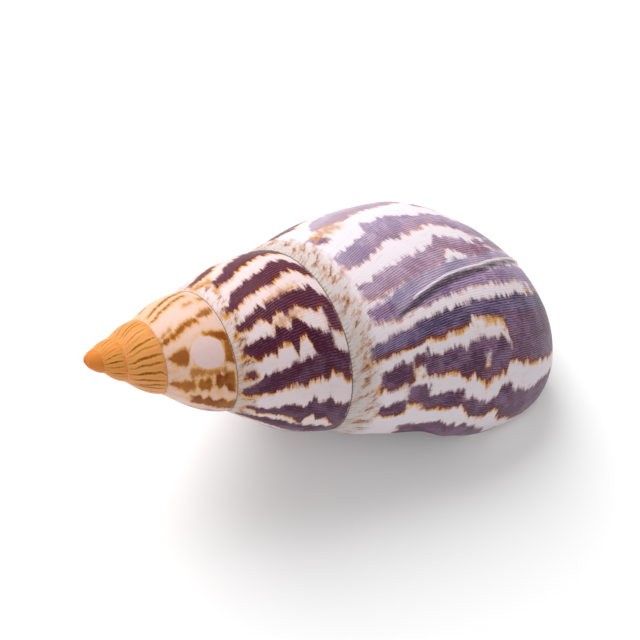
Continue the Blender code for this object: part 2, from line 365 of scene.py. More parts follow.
VISIBLE_FLAMES: tuple[Flame, ...] = (
    # body_far_haze, body_first, body_second and body_stripe have lowered strength, so they are paler: partly
    # their own colour, partly a painted wash of the light falling on the top of the body whorl.
    Flame("body_far_haze", Tone.HAZE, ((0.28, -0.165, -0.145), (0.40, -0.175, -0.135), (0.60, -0.175, -0.128),
                                       (0.75, -0.170, -0.128), (0.92, -0.158, -0.126), (1.20, -0.154, -0.130),
                                       (1.55, -0.150, -0.132), (1.85, -0.146, -0.134)), 0.75, 0.65, 0.10),
    Flame("body_far_low", Tone.HAZE, ((1.00, -0.118, -0.104), (1.15, -0.116, -0.094), (1.40, -0.108, -0.086),
                                      (1.65, -0.104, -0.086), (1.90, -0.098, -0.088)), 0.45, 0.9, 0.15),
    Flame("body_far_spot", Tone.HAZE, ((0.19, -0.142, -0.130), (0.24, -0.140, -0.114), (0.27, -0.130, -0.116)),
          0.35, 1.0),
    Flame("body_far_salmon", Tone.AMBER, ((0.24, -0.146, -0.132), (0.34, -0.142, -0.124),
                                          (0.44, -0.128, -0.118)), 0.2, 0.5, 0.10),
    # A painted highlight along the ridge of the healed scar.
    Flame("scar_painted_highlight", Tone.PAINTED_HIGHLIGHT, ((0.45, 0.014, 0.031), (0.74, 0.008, 0.023), (0.98, 0.006, 0.019),
                                     (1.25, -0.002, 0.012), (1.50, -0.010, 0.003))),
    Flame("third_slot", Tone.BARE, ((0.850, 0.120, 0.140), (0.866, 0.118, 0.142), (0.884, 0.120, 0.140))),
    Flame("third_spike", Tone.BARE, ((0.99, 0.150, 0.162), (1.05, 0.130, 0.162), (1.11, 0.152, 0.164))),
    Flame("third_notch", Tone.BARE, ((0.70, 0.160, 0.178), (0.742, 0.142, 0.178), (0.80, 0.166, 0.180))),
    Flame("body_first", Tone.HAZE, ((0.18, -0.086, -0.062), (0.27, -0.084, -0.054), (0.34, -0.084, -0.049),
                                    (0.42, -0.082, -0.054), (0.48, -0.086, -0.057), (0.53, -0.106, -0.057),
                                    (0.58, -0.096, -0.055), (0.68, -0.094, -0.053), (0.80, -0.090, -0.056),
                                    (0.90, -0.080, -0.060), (1.00, -0.078, -0.050), (1.10, -0.070, -0.038),
                                    (1.22, -0.062, -0.030), (1.36, -0.056, -0.028), (1.55, -0.062, -0.030),
                                    (1.75, -0.064, -0.038), (1.92, -0.070, -0.046)), 0.72, 0.82),
    Flame("body_second_low", Tone.HAZE, ((1.10, -0.022, -0.010), (1.30, -0.026, -0.012), (1.60, -0.034, -0.020),
                                         (1.90, -0.040, -0.026)), 0.4, 0.9),
    Flame("body_second", Tone.HAZE, ((0.19, -0.028, -0.006), (0.30, -0.024, 0.002), (0.45, -0.024, 0.004),
                                     (0.60, -0.021, 0.004), (0.78, -0.024, 0.004), (0.82, -0.033, -0.012),
                                     (0.93, -0.032, -0.012), (0.98, -0.028, 0.002), (1.06, -0.016, 0.006)),
          0.30, 0.86),
    Flame("body_stripe", Tone.HAZE, ((0.32, 0.010, 0.042), (0.36, 0.008, 0.038), (0.50, 0.006, 0.031),
                                     (0.74, 0.004, 0.022), (0.92, 0.0035, 0.017), (1.00, 0.003, 0.0145),
                                     (1.30, -0.006, 0.006), (1.50, -0.010, 0.000), (1.90, -0.018, -0.010)),
          0.95, 0.80),
    Flame("body_high_patch", Tone.HAZE, ((0.18, 0.008, 0.026), (0.28, 0.010, 0.035), (0.36, 0.020, 0.034)),
          0.45, 1.1),
    Flame("body_violet_band", Tone.HAZE, ((0.42, 0.030, 0.042), (0.70, 0.026, 0.041), (1.05, 0.022, 0.040),
                                          (1.50, 0.012, 0.038), (1.90, 0.006, 0.034)), 0.62, 1.0),
    Flame("body_block_a", Tone.HAZE, ((1.33, 0.040, 0.056), (1.38, 0.038, 0.057)), 0.3, 0.75),
    Flame("body_block_b", Tone.HAZE, ((1.43, 0.036, 0.058), (1.62, 0.034, 0.058)), 0.4, 0.85),
    Flame("body_navy", Tone.DARK, ((0.13, 0.056, 0.078), (0.45, 0.057, 0.082), (0.62, 0.058, 0.084),
                                   (1.00, 0.058, 0.083), (1.25, 0.057, 0.082), (1.55, 0.056, 0.090),
                                   (1.78, 0.052, 0.088), (1.95, 0.048, 0.080)), 0.9, 0.95),
    Flame("body_low_wash", Tone.DARK, ((1.02, 0.078, 0.094), (1.06, 0.078, 0.126), (1.15, 0.078, 0.140),
                                       (1.45, 0.076, 0.152), (1.75, 0.070, 0.160), (2.00, 0.060, 0.158)),
          0.60, 0.80),
    Flame("body_third_top", Tone.DARK, ((0.17, 0.104, 0.128), (0.27, 0.100, 0.136), (0.36, 0.100, 0.130)),
          0.35, 1.0),
    Flame("body_third_spot", Tone.DARK, ((0.37, 0.095, 0.110), (0.45, 0.095, 0.112)), 0.4, 1.0),
    Flame("body_third", Tone.DARK, ((0.44, 0.108, 0.132), (0.60, 0.104, 0.133), (0.67, 0.106, 0.140),
                                    (0.70, 0.108, 0.152), (0.74, 0.106, 0.145), (0.80, 0.105, 0.148),
                                    (0.85, 0.104, 0.161), (0.90, 0.104, 0.150), (1.00, 0.106, 0.148),
                                    (1.04, 0.112, 0.136), (1.12, 0.115, 0.134)), 0.42, 1.0),
    Flame("body_fourth_top", Tone.DARK, ((0.18, 0.164, 0.182), (0.26, 0.162, 0.190), (0.34, 0.165, 0.188)),
          0.35, 1.0),
    Flame("body_fourth_arm", Tone.DARK, ((0.35, 0.142, 0.170), (0.41, 0.140, 0.172), (0.47, 0.150, 0.176)),
          0.7, 0.8),
    Flame("body_fourth", Tone.DARK, ((0.44, 0.166, 0.186), (0.60, 0.164, 0.190), (0.74, 0.168, 0.190),
                                     (0.78, 0.182, 0.210), (0.90, 0.186, 0.208), (0.95, 0.176, 0.196),
                                     (1.00, 0.160, 0.200), (1.08, 0.160, 0.200)), 0.4, 1.0),
    Flame("body_fourth_low", Tone.DARK, ((1.02, 0.170, 0.204), (1.20, 0.180, 0.232), (1.45, 0.182, 0.240),
                                         (1.75, 0.180, 0.250), (2.00, 0.178, 0.256)), 0.5, 0.85),
    Flame("body_last", Tone.DARK, ((0.36, 0.226, 0.262), (0.60, 0.224, 0.262), (0.90, 0.228, 0.262),
                                   (1.04, 0.242, 0.262), (1.12, 0.250, 0.262)), 0.4, 0.9),
    # The painted shadow beside the ridge of the healed scar.
    Flame("scar_painted_shadow", Tone.PAINTED_SHADOW, ((0.30, 0.037, 0.041), (0.36, 0.034, 0.042), (0.50, 0.027, 0.039),
                                    (0.74, 0.020, 0.031), (0.98, 0.0175, 0.027), (1.25, 0.010, 0.017),
                                    (1.50, 0.001, 0.006))),
    Flame("body_gap_arc", Tone.BARE, ((0.67, 0.102, 0.108), (0.71, 0.093, 0.105), (0.755, 0.084, 0.100),
                                      (0.79, 0.072, 0.102), (0.82, 0.078, 0.093), (0.90, 0.076, 0.087),
                                      (0.98, 0.080, 0.091))),
    Flame("body_gap_leg", Tone.BARE, ((0.97, 0.080, 0.093), (1.01, 0.086, 0.104), (1.035, 0.096, 0.118),
                                      (1.06, 0.112, 0.124))),
    Flame("body_arc_glow", Tone.AMBER, ((0.82, 0.074, 0.082), (0.90, 0.071, 0.080), (1.00, 0.075, 0.088),
                                        (1.05, 0.090, 0.106)), 0.75, 0.55, 0.08),
    Flame("body_red_foot", Tone.HAZE, ((0.90, -0.022, -0.002), (1.00, -0.020, 0.004), (1.14, -0.014, 0.004),
                                       (1.24, -0.014, 0.000)), 0.0, 1.0, 0.12),
    Flame("second_far", Tone.DARK, ((0.08, -1.213, -1.202), (0.18, -1.207, -1.188), (0.30, -1.202, -1.178),
                                    (0.40, -1.196, -1.180), (0.46, -1.190, -1.180)), 0.35, 0.75),
    Flame("second_slip", Tone.AMBER, ((0.05, -1.180, -1.172), (0.13, -1.170, -1.158), (0.20, -1.162, -1.150)),
          0.1, 1.0),
    Flame("second_b", Tone.DARK, ((0.19, -1.143, -1.122), (0.28, -1.141, -1.115), (0.35, -1.136, -1.106),
                                  (0.40, -1.148, -1.115), (0.55, -1.146, -1.113), (0.70, -1.150, -1.115),
                                  (0.82, -1.151, -1.118), (0.92, -1.156, -1.110), (1.00, -1.162, -1.102)),
          0.35, 0.8),
    Flame("second_c", Tone.DARK, ((0.08, -1.070, -1.056), (0.15, -1.066, -1.052), (0.20, -1.084, -1.050),
                                  (0.26, -1.082, -1.050), (0.32, -1.076, -1.050), (0.40, -1.079, -1.047),
                                  (0.50, -1.075, -1.045), (0.55, -1.075, -1.040), (0.62, -1.076, -1.046),
                                  (0.74, -1.082, -1.050), (0.86, -1.084, -1.052), (0.90, -1.070, -1.038),
                                  (1.00, -1.058, -1.026)), 0.5, 0.85),
    Flame("second_d", Tone.DARK, ((0.08, -1.018, -1.003), (0.20, -1.018, -0.998), (0.33, -1.016, -0.997),
                                  (0.36, -1.027, -0.994), (0.38, -1.012, -0.979), (0.44, -1.015, -0.990),
                                  (0.51, -1.011, -0.988), (0.55, -1.013, -0.973), (0.60, -1.016, -0.985),
                                  (0.70, -1.012, -0.981), (0.76, -1.010, -0.969), (0.88, -1.008, -0.972),
                                  (0.93, -0.990, -0.970), (1.00, -0.985, -0.960)), 0.45, 0.92),
    Flame("second_d_edge", Tone.AMBER, ((0.42, -1.021, -1.010), (0.60, -1.023, -1.012), (0.76, -1.026, -1.012)),
          0.35, 0.42, 0.15),
    Flame("second_e", Tone.DARK, ((0.09, -0.966, -0.952), (0.15, -0.968, -0.941), (0.20, -0.966, -0.930),
                                  (0.30, -0.964, -0.934), (0.35, -0.962, -0.925), (0.38, -0.955, -0.938),
                                  (0.42, -0.971, -0.940), (0.50, -0.957, -0.931), (0.54, -0.950, -0.905),
                                  (0.57, -0.970, -0.930), (0.62, -0.965, -0.934), (0.66, -0.955, -0.930),
                                  (0.70, -0.945, -0.900), (0.74, -0.936, -0.880), (0.85, -0.930, -0.870),
                                  (0.88, -0.940, -0.880)), 0.4, 1.0),
    Flame("second_e_foot", Tone.DARK, ((0.89, -0.972, -0.930), (1.00, -0.968, -0.926)), 0.5, 0.9),
    Flame("second_e_edge", Tone.AMBER, ((0.40, -0.978, -0.962), (0.58, -0.983, -0.966), (0.68, -0.984, -0.962)),
          0.35, 0.45, 0.12),
    Flame("second_f", Tone.DARK, ((0.04, -0.872, -0.858), (0.10, -0.872, -0.846), (0.20, -0.886, -0.850),
                                  (0.30, -0.893, -0.848), (0.35, -0.895, -0.850), (0.40, -0.891, -0.857),
                                  (0.50, -0.895, -0.857), (0.55, -0.897, -0.852), (0.60, -0.893, -0.855),
                                  (0.66, -0.896, -0.861), (0.71, -0.900, -0.855), (0.76, -0.926, -0.857),
                                  (0.83, -0.925, -0.864), (0.88, -0.900, -0.860), (1.00, -0.888, -0.846)),
          0.42, 1.05),
    Flame("second_f_spot", Tone.DARK, ((0.08, -0.912, -0.898), (0.16, -0.908, -0.894)), 0.1, 0.9),
    Flame("second_g", Tone.DARK, ((0.10, -0.811, -0.803), (0.18, -0.808, -0.790), (0.21, -0.801, -0.776),
                                  (0.26, -0.801, -0.785), (0.40, -0.810, -0.780), (0.50, -0.811, -0.775),
                                  (0.58, -0.806, -0.754), (0.62, -0.814, -0.782), (0.65, -0.830, -0.786),
                                  (0.68, -0.812, -0.780), (0.72, -0.808, -0.761), (0.76, -0.812, -0.772),
                                  (0.78, -0.829, -0.770), (0.82, -0.808, -0.766), (0.90, -0.800, -0.745),
                                  (1.00, -0.800, -0.722)), 0.45, 1.1),
    Flame("second_h", Tone.DARK, ((0.06, -0.763, -0.750), (0.20, -0.761, -0.738), (0.30, -0.766, -0.732),
                                  (0.50, -0.754, -0.715), (0.70, -0.746, -0.705), (0.87, -0.738, -0.695),
                                  (1.00, -0.732, -0.690)), 0.35, 1.1),
    Flame("third_line_a", Tone.AMBER, ((0.10, -2.158, -2.152), (0.30, -2.154, -2.145), (0.45, -2.150, -2.138),
                                       (0.80, -2.147, -2.137), (0.97, -2.152, -2.142)), 0.0, 1.0),
    Flame("third_line_b", Tone.AMBER, ((0.05, -2.128, -2.122), (0.15, -2.121, -2.113), (0.27, -2.124, -2.115),
                                       (0.42, -2.116, -2.107), (0.84, -2.116, -2.107)), 0.1, 0.9),
    Flame("third_spot", Tone.AMBER, ((0.64, -2.078, -2.064), (0.72, -2.076, -2.064), (0.80, -2.074, -2.066)),
          0.5, 0.6),
    Flame("third_low", Tone.AMBER, ((0.90, -2.078, -2.064), (1.00, -2.076, -2.066)), 0.0, 1.0),
    Flame("third_line_c", Tone.AMBER, ((0.00, -2.028, -2.014), (0.12, -2.026, -2.008), (0.30, -2.020, -2.001),
                                       (0.38, -2.024, -2.006), (0.55, -2.024, -2.008), (0.66, -2.016, -2.005)),
          0.2, 1.1),
    Flame("third_line_d", Tone.AMBER, ((0.03, -2.046, -2.036), (0.25, -2.042, -2.034)), 0.5, 0.7),
    Flame("third_violet", Tone.AMBER, ((0.70, -2.024, -2.012), (0.82, -2.032, -2.010), (0.99, -2.034, -2.016)),
          0.0, 0.85, 0.08),
    Flame("third_brown", Tone.AMBER, ((0.03, -1.966, -1.955), (0.14, -1.960, -1.926), (0.27, -1.964, -1.908),
                                      (0.33, -1.970, -1.896), (0.37, -1.966, -1.930)), 0.25, 0.95, 0.10),
    Flame("third_foot", Tone.AMBER, ((0.66, -1.972, -1.965), (0.80, -1.968, -1.948), (0.90, -1.962, -1.936),
                                     (1.00, -1.958, -1.930)), 0.15, 1.0),
    Flame("third_foot_row", Tone.AMBER, ((0.88, -1.940, -1.884), (1.00, -1.936, -1.880)), 0.15, 0.95),
    Flame("third_disc", Tone.AMBER, ((0.38, -1.945, -1.925), (0.45, -1.962, -1.895), (0.55, -1.966, -1.878),
                                     (0.64, -1.965, -1.874), (0.74, -1.963, -1.874), (0.82, -1.950, -1.885),
                                     (0.89, -1.935, -1.905)), 1.0, 1.0),
    Flame("third_edge", Tone.AMBER, ((0.34, -1.892, -1.862), (0.44, -1.888, -1.864), (0.60, -1.872, -1.860),
                                     (0.86, -1.872, -1.858)), 0.5, 0.8),
    Flame("third_comb_a", Tone.AMBER, ((0.02, -1.856, -1.842), (0.12, -1.862, -1.834), (0.20, -1.852, -1.822),
                                       (0.27, -1.860, -1.806), (0.33, -1.850, -1.816), (0.39, -1.856, -1.806)),
          0.40, 0.95),
    Flame("third_comb_b", Tone.AMBER, ((0.44, -1.846, -1.828), (0.48, -1.856, -1.812), (0.53, -1.846, -1.820),
                                       (0.58, -1.856, -1.808), (0.63, -1.848, -1.824)), 0.22, 1.0),
    Flame("third_comb_c", Tone.AMBER, ((0.67, -1.850, -1.830), (0.74, -1.864, -1.812), (0.80, -1.852, -1.826),
                                       (0.87, -1.862, -1.806), (0.97, -1.856, -1.800)), 0.06, 1.0),
    Flame("third_comb_d", Tone.AMBER, ((0.36, -1.790, -1.756), (0.46, -1.796, -1.748), (0.53, -1.776, -1.750),
                                       (0.60, -1.792, -1.742), (0.68, -1.768, -1.740), (0.78, -1.782, -1.730),
                                       (0.88, -1.764, -1.730), (1.00, -1.776, -1.718)), 0.10, 1.0),
    Flame("fourth_a", Tone.AMBER, ((0.10, -3.055, -3.047), (0.40, -3.054, -3.044), (0.98, -3.050, -3.044)),
          0.4, 0.8, 0.3),
    Flame("fourth_a2", Tone.AMBER, ((0.05, -3.030, -3.024), (0.45, -3.026, -3.018), (0.80, -3.030, -3.024)),
          0.5, 0.55, 0.3),
    Flame("fourth_b", Tone.AMBER, ((0.02, -3.004, -2.996), (0.15, -2.998, -2.988), (0.35, -3.000, -2.988),
                                   (0.60, -2.994, -2.984), (0.99, -2.998, -2.988)), 0.25, 1.0, 0.3),
    Flame("fourth_c", Tone.AMBER, ((0.02, -2.980, -2.972), (0.20, -2.968, -2.960), (0.45, -2.970, -2.961),
                                   (0.75, -2.962, -2.955), (0.99, -2.966, -2.958)), 0.4, 0.75, 0.3),
    Flame("fourth_d", Tone.AMBER, ((0.02, -2.938, -2.929), (0.20, -2.930, -2.917), (0.38, -2.934, -2.918),
                                   (0.62, -2.926, -2.913), (0.99, -2.928, -2.914)), 0.2, 1.0, 0.3),
    Flame("fourth_e", Tone.AMBER, ((0.00, -2.910, -2.903), (0.18, -2.894, -2.885), (0.40, -2.898, -2.887),
                                   (0.62, -2.890, -2.880), (0.99, -2.894, -2.882)), 0.25, 0.95, 0.3),
    Flame("fourth_f", Tone.AMBER, ((0.04, -2.862, -2.853), (0.25, -2.854, -2.842), (0.45, -2.858, -2.842),
                                   (0.70, -2.850, -2.838), (0.85, -2.854, -2.840), (0.99, -2.838, -2.822)),
          0.15, 1.0, 0.3),
    Flame("fourth_g", Tone.AMBER, ((0.02, -2.828, -2.820), (0.20, -2.816, -2.806), (0.42, -2.820, -2.806),
                                   (0.70, -2.812, -2.803), (0.99, -2.806, -2.798)), 0.2, 0.9, 0.3),
    Flame("fourth_h", Tone.AMBER, ((0.10, -2.786, -2.778), (0.40, -2.778, -2.769), (0.70, -2.788, -2.776),
                                   (0.99, -2.786, -2.772)), 0.15, 0.95, 0.3),
    Flame("fifth_a", Tone.AMBER, ((0.05, -4.010, -4.000), (0.50, -4.002, -3.992), (0.95, -4.006, -3.998)),
          0.4, 0.7, 0.3),
    Flame("fifth_b", Tone.AMBER, ((0.03, -3.966, -3.952), (0.40, -3.958, -3.945), (0.95, -3.956, -3.946)),
          0.3, 0.9, 0.3),
    Flame("fifth_c", Tone.AMBER, ((0.03, -3.924, -3.910), (0.45, -3.912, -3.896), (0.95, -3.904, -3.890)),
          0.2, 1.0, 0.3),
    Flame("fifth_d", Tone.AMBER, ((0.03, -3.884, -3.872), (0.45, -3.864, -3.852), (0.95, -3.862, -3.850)),
          0.3, 0.85, 0.3),
    Flame("fifth_e", Tone.AMBER, ((0.05, -3.814, -3.804), (0.50, -3.808, -3.795), (0.97, -3.804, -3.790)),
          0.2, 1.0, 0.3),
)


@dataclass(frozen=True)
class Markings:
    """All pigment of the shell, with the painted shadow and painted highlight of the scar: the markings in view,
    and grown ones where the shell is turned away.

    `turned_away` gives the first and last growth and the lowest v of each stretch with grown flames,
    and `lined_whorls` the first and last growth of each stretch with grown thin lines.
    """

    seed: int = 11
    reach_share: float = 0.36
    spacing: float = 0.058
    line_spacing: float = 0.038
    turned_away: tuple[tuple[float, float, float], ...] = (
        (-0.680, -0.185, 1.75), (-1.690, -1.235, 1.0), (-2.690, -2.180, 1.0))
    lined_whorls: tuple[tuple[float, float], ...] = ((-2.760, -2.640), (-3.770, -3.070), (-4.600, -4.030))
    margin: float = 0.05
    unmarked_weight: float = 1e-6
    weight_power: int = 8

    def grown_flames(self) -> list[Flame]:
        """Flames and lines of the same kind and spacing for the far side of the shell.

        Returns:
            The flames, the same ones each time.
        """
        rng = np.random.default_rng(self.seed)
        flames = []
        for first, last, lowest in self.turned_away:
            small = 0.6 if first < -2.0 else 1.0
            for number, middle in enumerate(np.arange(first, last, self.spacing)):
                middle = middle + rng.uniform(-0.008, 0.008)
                rows = []
                for v in np.arange(rng.uniform(0.10, 0.20), lowest, 0.055):
                    wide = small * (0.013 + 0.006 * math.sin(v * 21.0 + number) + rng.uniform(-0.003, 0.004))
                    shift = 0.006 * math.sin(v * 9.0 + 2.0 * number) + rng.uniform(-0.003, 0.003)
                    rows.append((float(v), middle + shift - wide, middle + shift + wide))
                tone = Tone.DARK if number % 3 else Tone.HAZE
                if first < -2.0:
                    tone = Tone.AMBER
                flames.append(Flame(f"grown_{first:.0f}_{number}", tone, tuple(rows),
                                    float(rng.uniform(0.25, 0.7)), 0.9))
        for first, last in self.lined_whorls:
            for number, middle in enumerate(np.arange(first, last, self.line_spacing)):
                middle = middle + rng.uniform(-0.008, 0.008)
                wide = rng.uniform(0.0035, 0.0065)
                rows = [(float(v), middle + bend - wide, middle + bend + wide)
                        for v, bend in zip(np.linspace(0.02, 0.98, 6), rng.uniform(-0.004, 0.004, 6))]
                flames.append(Flame(f"line_{first:.0f}_{number}", Tone.AMBER, tuple(rows),
                                    float(rng.uniform(0.15, 0.5)), float(rng.uniform(0.6, 1.0)), 0.3))
        return flames

    def fields(self, coil: Coil, growth: Array, v: Array) -> dict[str, Array]:
        """Pigment, and the painted shadow and highlight of the scar, over a sheet of the skin.

        Args:
            coil: The spiral, which gives the lengths.
            growth: Stage of growth at each vertex.
            v: Place across the whorl at each vertex.

        Returns:
            Two colour attributes: `pigment` holds how deep a point lies in dark, haze and amber markings and in
                the painted shadow beside the scar, and `tint` the side, hue and strength of the marking and the
                painted highlight on the scar's ridge.
        """
        reach = self.reach_share * np.sqrt(coil.chord(growth))
        layers = np.zeros(growth.shape + (len(Tone),))
        weights = np.full(growth.shape, self.unmarked_weight)
        sums = weights[..., None] * np.array(PLAIN_TINT)
        for flame in (*VISIBLE_FLAMES, *self.grown_flames()):
            low = min(row[1] for row in flame.rows) - self.margin
            high = max(row[2] for row in flame.rows) + self.margin
            near = (growth > low) & (growth < high)
            if not near.any():
                continue
            inside, side = flame.depth_inside(coil, growth[near], v[near])
            value = np.clip(0.5 + 0.5 * inside / reach[near], 0.0, 1.0)
            kept = layers[near]
            kept[:, flame.tone.value] = np.maximum(kept[:, flame.tone.value], value)
            layers[near] = kept
            if flame.tone.value > Tone.AMBER.value:
                continue
            weight = value ** self.weight_power
            sided = np.clip(0.5 + 0.5 * side, 0.0, 1.0)
            weights[near] += weight
            sums[near] += weight[:, None] * np.stack(
                [sided, np.full_like(sided, flame.hue), np.full_like(sided, flame.strength)], axis=-1)
        dark = Tone.DARK.value
        layers[..., dark] = np.minimum(layers[..., dark], 1.0 - layers[..., Tone.BARE.value])
        pigment = layers[..., :Tone.PAINTED_HIGHLIGHT.value]
        tint = np.concatenate([sums / weights[..., None], layers[..., Tone.PAINTED_HIGHLIGHT.value, None]], axis=-1)
        return {"pigment": pigment, "tint": tint}


class Signal:
    """A socket in shader maths: an expression on signals adds its Math nodes."""

    def __init__(self, recipe: "Recipe", socket: bpy.types.NodeSocket) -> None:
        """Wrap a socket of a recipe."""
        self.recipe = recipe
        self.socket = socket

    def __add__(self, other: "Value") -> "Signal":
        """Sum."""
        return self.recipe.math("ADD", self, other)

    __radd__ = __add__

    def __sub__(self, other: "Value") -> "Signal":
        """Difference."""
        return self.recipe.math("SUBTRACT", self, other)

    def __rsub__(self, other: "Value") -> "Signal":
        """Difference, from a number."""
        return self.recipe.math("SUBTRACT", other, self)

    def __mul__(self, other: "Value") -> "Signal":
        """Product."""
        return self.recipe.math("MULTIPLY", self, other)

    __rmul__ = __mul__

    def __truediv__(self, other: "Value") -> "Signal":
        """Quotient."""
        return self.recipe.math("DIVIDE", self, other)

    def __rtruediv__(self, other: "Value") -> "Signal":
        """Quotient, of a number."""
        return self.recipe.math("DIVIDE", other, self)

    def __pow__(self, other: "Value") -> "Signal":
        """Power."""
        return self.recipe.math("POWER", self, other)

    def __rpow__(self, other: "Value") -> "Signal":
        """Power of a number."""
        return self.recipe.math("POWER", other, self)

    def sine(self) -> "Signal":
        """Sine."""
        return self.recipe.math("SINE", self)

    def least(self, other: "Value") -> "Signal":
        """The smaller of two values."""
        return self.recipe.math("MINIMUM", self, other)

    def most(self, other: "Value") -> "Signal":
        """The larger of two values."""
        return self.recipe.math("MAXIMUM", self, other)

    def step(self, low: "Value", high: "Value") -> "Signal":
        """Smooth step from 0 at low to 1 at high."""
        node = self.recipe.node("ShaderNodeMapRange", {"interpolation_type": "SMOOTHSTEP"},
                                {"Value": self, "From Min": low, "From Max": high})
        return Signal(self.recipe, node.outputs["Result"])


Value = Union[Signal, float]
Colour = Union[Signal, Rgb]


class Recipe:
    """A material's node tree, made node by node."""

    def __init__(self, name: str) -> None:
        """Start an empty material.

        Args:
            name: Its name.
        """
        self.material = bpy.data.materials.new(name)
        self.material.use_nodes = True
        self.tree = self.material.node_tree
        self.tree.nodes.clear()

    def node(self, kind: str, settings: dict[str, Any], sockets: dict[Any, Any]) -> bpy.types.Node:
        """Add a node.

        Args:
            kind: The node's type.
            settings: Its properties, set first.
            sockets: A value or a signal for each input, by name or number.

        Returns:
            The node.
        """
        made = self.tree.nodes.new(kind)
        for name, value in settings.items():
            setattr(made, name, value)
        for name, value in sockets.items():
            if isinstance(value, Signal):
                self.tree.links.new(value.socket, made.inputs[name])
            elif isinstance(value, tuple) and len(value) == 3 and made.inputs[name].type == "RGBA":
                made.inputs[name].default_value = (*value, 1.0)
            else:
                made.inputs[name].default_value = value
        return made

    def math(self, operation: str, *values: Value) -> Signal:
        """A Math node on one or two values."""
        made = self.node("ShaderNodeMath", {"operation": operation}, dict(enumerate(values)))
        return Signal(self, made.outputs[0])

    def mix(self, factor: Value, first: Colour, second: Colour, blend: str = "MIX") -> Signal:
        """A colour between two colours.

        Args:
            factor: 0 for the first, 1 for the second.
            first: The colour at 0.
            second: The colour at 1.
            blend: How the second is laid on the first.

        Returns:
            The mixed colour.
        """
        made = self.node("ShaderNodeMix", {"data_type": "RGBA", "blend_type": blend},
                         {0: factor, 6: first, 7: second})
        return Signal(self, made.outputs[2])

    def ramp(self, factor: Value, stops: Sequence[tuple[float, Rgb]]) -> Signal:
        """A colour that runs through stops.

        Args:
            factor: Where on the ramp.
            stops: Places and colours, in order.

        Returns:
            The colour.
        """
        made = self.node("ShaderNodeValToRGB", {}, {0: factor})
        line = made.color_ramp
        while len(line.elements) < len(stops):
            line.elements.new(0.5)
        for element, (place, colour) in zip(line.elements, stops):
            element.position = place
            element.color = (*colour, 1.0)
        return Signal(self, made.outputs["Color"])

    def noise(self, where: Signal, scale: float, detail: float = 2.0, rough: float = 0.5) -> Signal:
        """Noise around 0.5 at points of a surface."""
        made = self.node("ShaderNodeTexNoise", {},
                         {"Vector": where, "Scale": scale, "Detail": detail, "Roughness": rough})
        return Signal(self, made.outputs[0])

    def point(self, x: Value, y: Value, z: Value) -> Signal:
        """A vector of three values."""
        made = self.node("ShaderNodeCombineXYZ", {}, {0: x, 1: y, 2: z})
        return Signal(self, made.outputs[0])

    def parts(self, vector: Signal) -> tuple[Signal, Signal, Signal]:
        """The three values of a vector."""
        made = self.node("ShaderNodeSeparateXYZ", {}, {0: vector})
        return tuple(Signal(self, made.outputs[index]) for index in range(3))

    def attribute(self, name: str) -> tuple[Signal, Signal, Signal, Signal]:
        """The four values of a colour attribute."""
        made = self.node("ShaderNodeAttribute", {"attribute_name": name}, {})
        return (*self.parts(Signal(self, made.outputs["Vector"])), Signal(self, made.outputs["Alpha"]))

    def surface(self, fixed: dict[str, Any], varying: dict[str, Signal]) -> None:
        """The surface shader and the output.

        Args:
            fixed: Values that are the same all over.
            varying: Signals that change over the surface.
        """
        shader = self.node("ShaderNodeBsdfPrincipled", {}, {**fixed, **varying})
        self.node("ShaderNodeOutputMaterial", {}, {"Surface": Signal(self, shader.outputs[0])})


